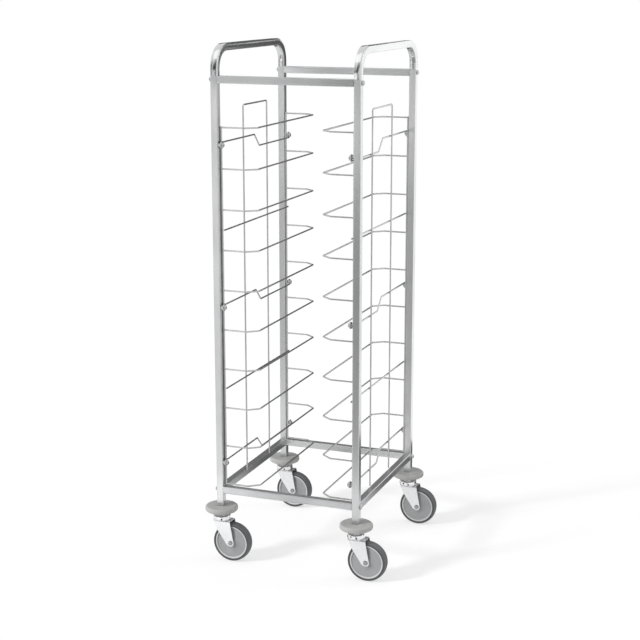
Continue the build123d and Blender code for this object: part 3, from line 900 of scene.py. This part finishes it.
def axle_surface():
    """Turned bolt along its axis, with its nut. Heights grow backwards from the wheel's middle plane."""
    washer = [(WASHER[0] - 0.3, WASHER[1]), (WASHER[0], WASHER[1] - 0.3), (WASHER[0], 0.0), (SHAFT, 0.0)]
    dimple = [(0.0, 1.1), (2.6, 1.0), (3.4, 0.3), (4.2, 0.0), (5.2, 0.15), (6.0, 0.8), (HEAD[0], 1.8)]
    front = [(radius, HEAD[1] - depth) for radius, depth in dimple] + [(HEAD[0], WASHER[1]), *washer]
    back = [
        *washer[::-1],
        (SHAFT, WASHER[1]),
        (SHAFT, NUT_TOP - 0.2),
        (SHAFT - 0.6, NUT_TOP + 0.5),
        (0.0, NUT_TOP + 0.5),
    ]
    near = np.array(front) * [1, -1] - [0, CHEEK_OUTSIDE]
    far = np.array(back) + [0, CHEEK_OUTSIDE]
    bolt = turned(np.concatenate([near, far]), 48, closed=False)
    nut = prism(NUT, 6, CHEEK_OUTSIDE + WASHER[1], CHEEK_OUTSIDE + NUT_TOP, 0.9, 72)
    return join(bolt, nut)


for corner in CORNERS:
    surface = placed(axle_surface(), axle_centre[corner], "y")
    bolt = add_piece(f"axle_bolt_{corner}", surface, axle_steel, f"swivel_{corner}", 25)
    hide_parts(f"axle_{corner}")
print("axle bolts,", round(2 * (CHEEK_OUTSIDE + HEAD[1]), 1), "mm over the heads")

# %% [markdown]
# ## Welds
#
# The wires are resistance welded: where two of them cross, the metal has run together into a small
# swelling. Each swelling is a coarse ellipsoid, half sunk in the wires. The side rails are welded to the
# uprights all round with a fine seam, whose ripples are the drops of the welder's steps: a circle carried
# round the tube's rounded square, with its radius swelling a little at a steady pace.

# %% Places of the wire welds
LEVELS = [middle(f"slide_left_{level:02d}")[2] for level in range(1, 11)]
PITCH = LEVELS[0] - LEVELS[1]
HOOK_HALF_JOG = 0.019  # a stepped wire ends this far above and below its middle
WIRE = span("slide_left_01")[2]
END_WIRE = 0.006
rack_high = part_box("end_wires")[1]
end_wire_y = rack_high.y - END_WIRE / 2
bow_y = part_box("guide_bow_right")[1].y - WIRE / 2
weld_x = rack_high.x - END_WIRE


def weld_places():
    """Centres of the swellings: at x = weld_x on the right rack, which turned half round Z is the left one.

    The cross wires lie half a pitch under every second level, the first and every second one with a step.
    """
    places = [(weld_x, side * end_wire_y, level) for level in LEVELS for side in (-1, 1)]
    for step in range(5):
        height = LEVELS[0] - PITCH * (2 * step + 0.5)
        jog = HOOK_HALF_JOG if step % 2 == 0 else 0.0
        for side in (-1, 1):
            for y in (end_wire_y, bow_y):
                places.append((weld_x, side * y, height + side * jog))
    right = np.array(places) - [frame_centre[0], 0, 0]
    left = right * [-1, -1, 1]
    return np.concatenate([right, left]) + [frame_centre[0], 0, 0]


# %% Weld swellings and seams
SWELLING = (2.3, 3.3, 3.3)  # half its size along each axis
SEAM_RADIUS = 0.9
SEAM_SWELL = 0.16
SEAM_RIPPLES = 44


def ellipsoid(half_sizes, turns=10, rings=7):
    """A coarse ball stretched along each axis: its radius is the cosine of the rise, its height the sine."""
    rise = np.linspace(-pi / 2, pi / 2, rings)[None]
    grid = round_axis(np.cos(rise), np.sin(rise), full_turn(turns))
    return sheet_of(grid * np.array(half_sizes), wrap_rows=True)


def seam_ring(half_width, corner, radius, ripples):
    """A thin ring round a tube in the X-Z plane.

    Its radius swells and shrinks with the sine of the distance round the tube.
    """
    square = rounded(square_corners(half_width), corner, 5)
    sides = np.linalg.norm(np.roll(square, -1, axis=0) - square, axis=1)
    length = np.concatenate([[0], np.cumsum(sides)])
    along = np.linspace(0, length[-1], 12 * ripples, endpoint=False)
    loop = np.vstack([square, square[:1]])
    path = np.stack([np.interp(along, length, loop[:, 0]), np.interp(along, length, loop[:, 1])], axis=-1)
    ahead = unit(np.roll(path, -1, axis=0) - np.roll(path, 1, axis=0))
    outward = np.stack([ahead[:, 1], -ahead[:, 0]], axis=-1)
    swell = radius * (1 + SEAM_SWELL * np.sin(2 * pi * ripples * along / length[-1]))[:, None]
    turn = full_turn(10).T
    out = swell * np.cos(turn)
    x = path[:, :1] + outward[:, :1] * out
    z = path[:, 1:] + outward[:, 1:] * out
    return sheet_of(np.stack([x, swell * np.sin(turn), z], axis=-1), wrap_rows=True, wrap_columns=True)


swelling = ellipsoid(SWELLING)
places = weld_places()
welds = join(*[placed(swelling, place) for place in places])
add_piece("wire_welds", welds, weld_steel, "root")
seam = seam_ring(tube_width / 2 / MM, TUBE_CORNER, SEAM_RADIUS, SEAM_RIPPLES)
seams = []
for side_name in SIDES:
    rail_low, rail_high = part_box(f"side_rail_{side_name}")
    for y in (rail_low.y, rail_high.y):
        seams.append(placed(seam, ((rail_low.x + rail_high.x) / 2, y, (rail_low.z + rail_high.z) / 2)))
add_piece("rail_seams", join(*seams), weld_steel, "root", 60)
print("wire welds:", len(places), "rail seams:", len(seams))

# %% [markdown]
# ## Stage, camera and light
#
# The trolley stands on a white floor in front of a white backdrop. The floor is mostly its own light, so
# it stays white on camera and still darkens a little in the shadows. The camera stands where the
# photograph was taken from.

# %% Floor and world
FLOOR_HALF = 30.0
FLOOR_GLOW = 0.61
FLOOR_COLOUR = (0.45, 0.45, 0.45, 1)
FLOOR_LEVEL = -0.0002  # just under the wheels
WORLD_FILL = 0.54  # light on plain surfaces from all round
WHITE = (1, 1, 1, 1)
PLAIN = (0.8, 0.8, 0.8, 1)


def backdrop_share(tree):
    """1 for the rays that show the backdrop: the camera's, and those that mirrors and glass send on."""
    ray = node(tree, "ShaderNodeLightPath").outputs
    either = {"operation": "MAXIMUM"}
    seen = node(tree, "ShaderNodeMath", either, i0=ray["Is Camera Ray"], i1=ray["Is Glossy Ray"]).outputs[0]
    return node(tree, "ShaderNodeMath", either, i0=seen, i1=ray["Is Transmission Ray"]).outputs[0]


def lying(z, x_low, x_high, y_low, y_high):
    """Corners of a level sheet."""
    return [(x_low, y_low, z), (x_high, y_low, z), (x_high, y_high, z), (x_low, y_high, z)]


def bare_material(name):
    """A material with an empty graph, and the graph."""
    material = bpy.data.materials.new(name)
    material.use_nodes = True
    material.node_tree.nodes.clear()
    return material, material.node_tree


def flat_sheet(name, corner_points, material):
    """Four points as one face that belongs to the stage."""
    mesh = bpy.data.meshes.new(name)
    mesh.from_pydata(corner_points, [], [(0, 1, 2, 3)])
    mesh.materials.append(material)
    sheet = bpy.data.objects.new(name, mesh)
    scene.collection.objects.link(sheet)
    return sheet


def floor_white():
    """Part glow and part diffuse, so that shadows show faintly on white."""
    material, tree = bare_material("floor_white")
    glow = node(tree, "ShaderNodeEmission", Color=WHITE, Strength=FLOOR_GLOW)
    matt = node(tree, "ShaderNodeBsdfDiffuse", Color=FLOOR_COLOUR)
    both = node(tree, "ShaderNodeAddShader", i0=glow.outputs[0], i1=matt.outputs[0]).outputs[0]
    plain = node(tree, "ShaderNodeBsdfDiffuse", Color=PLAIN).outputs[0]
    pick = node(tree, "ShaderNodeMixShader", i0=backdrop_share(tree), i1=plain, i2=both)
    node(tree, "ShaderNodeOutputMaterial", Surface=pick.outputs[0])
    return material


floor_corners = lying(FLOOR_LEVEL, -FLOOR_HALF, FLOOR_HALF, -FLOOR_HALF, FLOOR_HALF)
flat_sheet("floor", floor_corners, floor_white())

world = bpy.data.worlds.new("studio")
scene.world = world
world.use_nodes = True
sky = world.node_tree
sky.nodes.clear()
fill = node(sky, "ShaderNodeBackground", Color=WHITE, Strength=WORLD_FILL).outputs[0]
white = node(sky, "ShaderNodeBackground", Color=WHITE, Strength=1.0).outputs[0]
room = node(sky, "ShaderNodeMixShader", i0=backdrop_share(sky), i1=fill, i2=white)
node(sky, "ShaderNodeOutputWorld", Surface=room.outputs[0])
print("floor and world made, light from all round:", WORLD_FILL)

# %% [markdown]
# ## Cards for the metal
#
# Bright metal has hardly any colour of its own: it shows the room. In an all white room it turns as pale
# as the backdrop and its edges vanish. A photographer stands cards round such an object, black ones to
# draw its edges and white ones to keep the near side clean. Ours only exist for mirror rays, so they
# throw no shadow and no light.
#
# The faces that look to the right mirror the space behind the trolley: a dark wall with one light line, a
# dark cloth, and a white card that catches the right hoop alone. The faces that look to the front mirror
# the space before them: a grey wall, cloth and post for the right hoop and the back of the left one, and
# a light card, cloth and line for the front of the left hoop, the front rail and the front bar. Higher
# up, two strips give the polished bends their dark streaks: each is darkest at one height and fades to
# white above and below it. A light card overhead whitens the tops, and dark spots on the floor draw a
# dark edge on the castors' races.


# %% Cards
FRONT_WALL = -1.6  # metres from the trolley's middle, along Y
BACK_WALL = 1.6
CEILING = 3.0
CLOTH = 0.001
SPOT = 0.002
SPOT_AWAY = (0.12, -0.32)  # from the swivel axis
SPOT_HALF = (0.06, 0.12)


def standing(y, x_low, x_high, z_low, z_high):
    """Corners of an upright card that faces along Y."""
    return [(x_low, y, z_low), (x_high, y, z_low), (x_high, y, z_high), (x_low, y, z_high)]


def card(name, corner_points, brightness, darkest=None):
    """A sheet that only mirror rays meet, of one brightness or with a darkest height.

    From the darkest height its brightness grows to white with the square of the distance.
    """
    material, tree = bare_material(name)
    strength = brightness
    if darkest is not None:
        reach = max(darkest - corner_points[0][2], corner_points[2][2] - darkest)
        height = node(tree, "ShaderNodeSeparateXYZ", Vector=object_coordinates(tree)).outputs["Z"]
        away = between(tree, height, -1.0, 1.0, darkest - reach, darkest + reach)
        squared = node(tree, "ShaderNodeMath", {"operation": "MULTIPLY"}, i0=away, i1=away).outputs[0]
        strength = between(tree, squared, brightness, 1.0, 0.0, 1.0)
    glow = node(tree, "ShaderNodeEmission", Color=WHITE, Strength=strength)
    node(tree, "ShaderNodeOutputMaterial", Surface=glow.outputs[0])
    sheet = flat_sheet(name, corner_points, material)
    sheet.visible_camera = False
    sheet.visible_diffuse = False
    sheet.visible_shadow = False


card("dark_card_behind", standing(BACK_WALL, -1.4, 3.2, 0.0, 1.35), 0.19)
card("dark_card_behind_top", standing(BACK_WALL, -1.4, 3.2, 1.35, 2.5), 0.11)
card("light_line_behind", standing(BACK_WALL - 0.02, -0.9, 2.4, 1.66, 1.8), 0.9)
card("dark_cloth_behind", lying(CLOTH, -0.4, 2.4, 0.45, BACK_WALL), 0.12)
card("white_card_right", standing(0.45, 0.20, 0.95, 0.22, 1.75), 1.35)
card("grey_card_front", standing(FRONT_WALL, -1.9, 0.9, 0.0, 1.25), 0.42)
card("grey_cloth_front", lying(CLOTH, -1.2, 0.6, FRONT_WALL, -1.15), 0.4)
card("light_card_left", standing(-0.6, -0.51, -0.29, 0.14, 1.5), 1.25)
card("light_cloth_front", lying(CLOTH, -0.75, -0.1, -1.05, -0.66), 1.7)
card("light_line_front", standing(FRONT_WALL + 0.02, -1.15, -0.39, 0.95, 1.44), 1.9)
card("grey_post_front", standing(FRONT_WALL + 0.03, -0.37, 0.12, 0.8, 1.46), 0.28)
leaning_strip = [
    (-1.1, FRONT_WALL, 1.46),
    (-0.14, FRONT_WALL, 1.46),
    (0.5, FRONT_WALL, CEILING),
    (-0.5, FRONT_WALL, CEILING),
]
card("dark_strip_near", leaning_strip, 0.02, darkest=1.6)
card("dark_strip_far", standing(FRONT_WALL - 0.01, -2.4, -1.55, 0.9, CEILING), 0.1, darkest=1.95)
card("light_card_overhead", lying(CEILING, -1.5, 0.1, FRONT_WALL, -0.2), 1.5)
for corner in CORNERS:
    x, y = swivel_axis[corner][:2] + SPOT_AWAY
    spot = lying(SPOT, x - SPOT_HALF[0], x + SPOT_HALF[0], y - SPOT_HALF[1], y + SPOT_HALF[1])
    card(f"dark_spot_{corner}", spot, 0.04)
print("the near strip leans from", leaning_strip[1], "to", leaning_strip[2])

# %% [markdown]
# The key light is a soft sun from the front left, because a sun lights the far floor as much as the near
# one and so leaves no horizon. Its shadows run back to the right, as in the photograph. A lamp on the
# right keeps the shaded side of the castors open.


# %% Lamps
KEY_PLACE = (-3.2, -3.4, 3.2)
KEY_STRENGTH = 1.95
KEY_SPREAD = 10  # degrees, wide enough for soft shadow edges
RIM_PLACE = (3.0, 1.6, 2.4)
RIM_WATTS = 15.0


def add_lamp(name, kind, place, target, energy, **settings):
    """A lamp at a place in metres, aimed at a target."""
    data = bpy.data.lights.new(name, kind)
    data.energy = energy
    for key, value in settings.items():
        setattr(data, key, value)
    lamp = bpy.data.objects.new(name, data)
    lamp.location = place
    lamp.rotation_euler = (Vector(target) - Vector(place)).to_track_quat("-Z", "Y").to_euler()
    scene.collection.objects.link(lamp)
    return lamp


key = add_lamp("key", "SUN", KEY_PLACE, (0, 0, 0.3), KEY_STRENGTH, angle=radians(KEY_SPREAD))
key.visible_glossy = False
add_lamp("rim", "AREA", RIM_PLACE, (0, 0, 0.8), RIM_WATTS, shape="SQUARE", size=1.4)
print("lamps:", len(bpy.data.lights))

# %% Camera
PHOTO_WIDTH = 640.0
SENSOR_WIDTH = 36.0
FOCAL_PIXELS = 1467.8
SHIFT_PIXELS = (2.3, -12.4)
CAMERA_PLACE = Vector((1.6252, -4.2710, 1.8125))
CAMERA_YAW = 20.94
CAMERA_PITCH = 12.65

lens = bpy.data.cameras.new("camera")
lens.sensor_width = SENSOR_WIDTH
lens.lens = FOCAL_PIXELS / PHOTO_WIDTH * SENSOR_WIDTH
lens.shift_x = -SHIFT_PIXELS[0] / PHOTO_WIDTH
lens.shift_y = SHIFT_PIXELS[1] / PHOTO_WIDTH
lens.clip_end = 100.0  # past the edge of the floor
camera = bpy.data.objects.new("camera", lens)
camera.location = CAMERA_PLACE
camera.rotation_euler = Euler((radians(90 - CAMERA_PITCH), 0, radians(CAMERA_YAW)))
scene.collection.objects.link(camera)
scene.camera = camera
scene.view_settings.view_transform = "Standard"
print("lens, mm:", round(lens.lens, 1))
